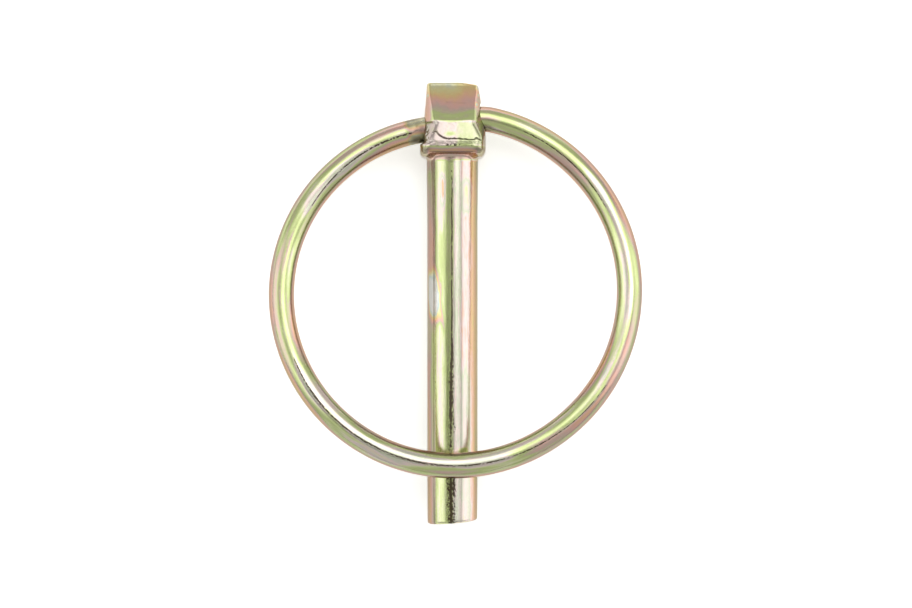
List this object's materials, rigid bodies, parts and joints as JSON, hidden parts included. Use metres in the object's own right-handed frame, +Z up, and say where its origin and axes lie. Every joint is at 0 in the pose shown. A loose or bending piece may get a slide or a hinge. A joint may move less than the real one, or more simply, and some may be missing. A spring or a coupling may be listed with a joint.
{
  "type": "lynch pin",
  "caption": "Lynch pin: a round shank under a wedge-topped head, with a spring ring hinged in the head that swings over the shank's end to keep it in its hole.",
  "frame": {"origin": "on the shank's axis, in the plane of the shoulder that the head seats on", "axes": "+Y from the shoulder to the head's top, the shank runs toward -Y; +Z up, away from the surface the pin lies on and through the side that the closed ring lies across; +X to the right, toward the higher end of the ring's bore"},
  "size_m": [0.0441, 0.0524, 0.0101],
  "materials": {
    "pin_plating": "forged steel, zinc plated with yellow iridescent chromate, pitted and worn through in one patch",
    "ring_plating": "drawn spring wire, zinc plated with yellow iridescent chromate"
  },
  "bodies": {
    "pin": {"pin": "pin_plating"},
    "ring": {"ring": "ring_plating"}
  },
  "joints": [
    {"name": "ring_swing", "type": "hinge", "parent": "pin", "child": "ring", "pos_m": [0, 0.004, 0], "axis": [-0.9816, -0.1908, 0], "range_deg": [0, 346.5]}
  ]
}
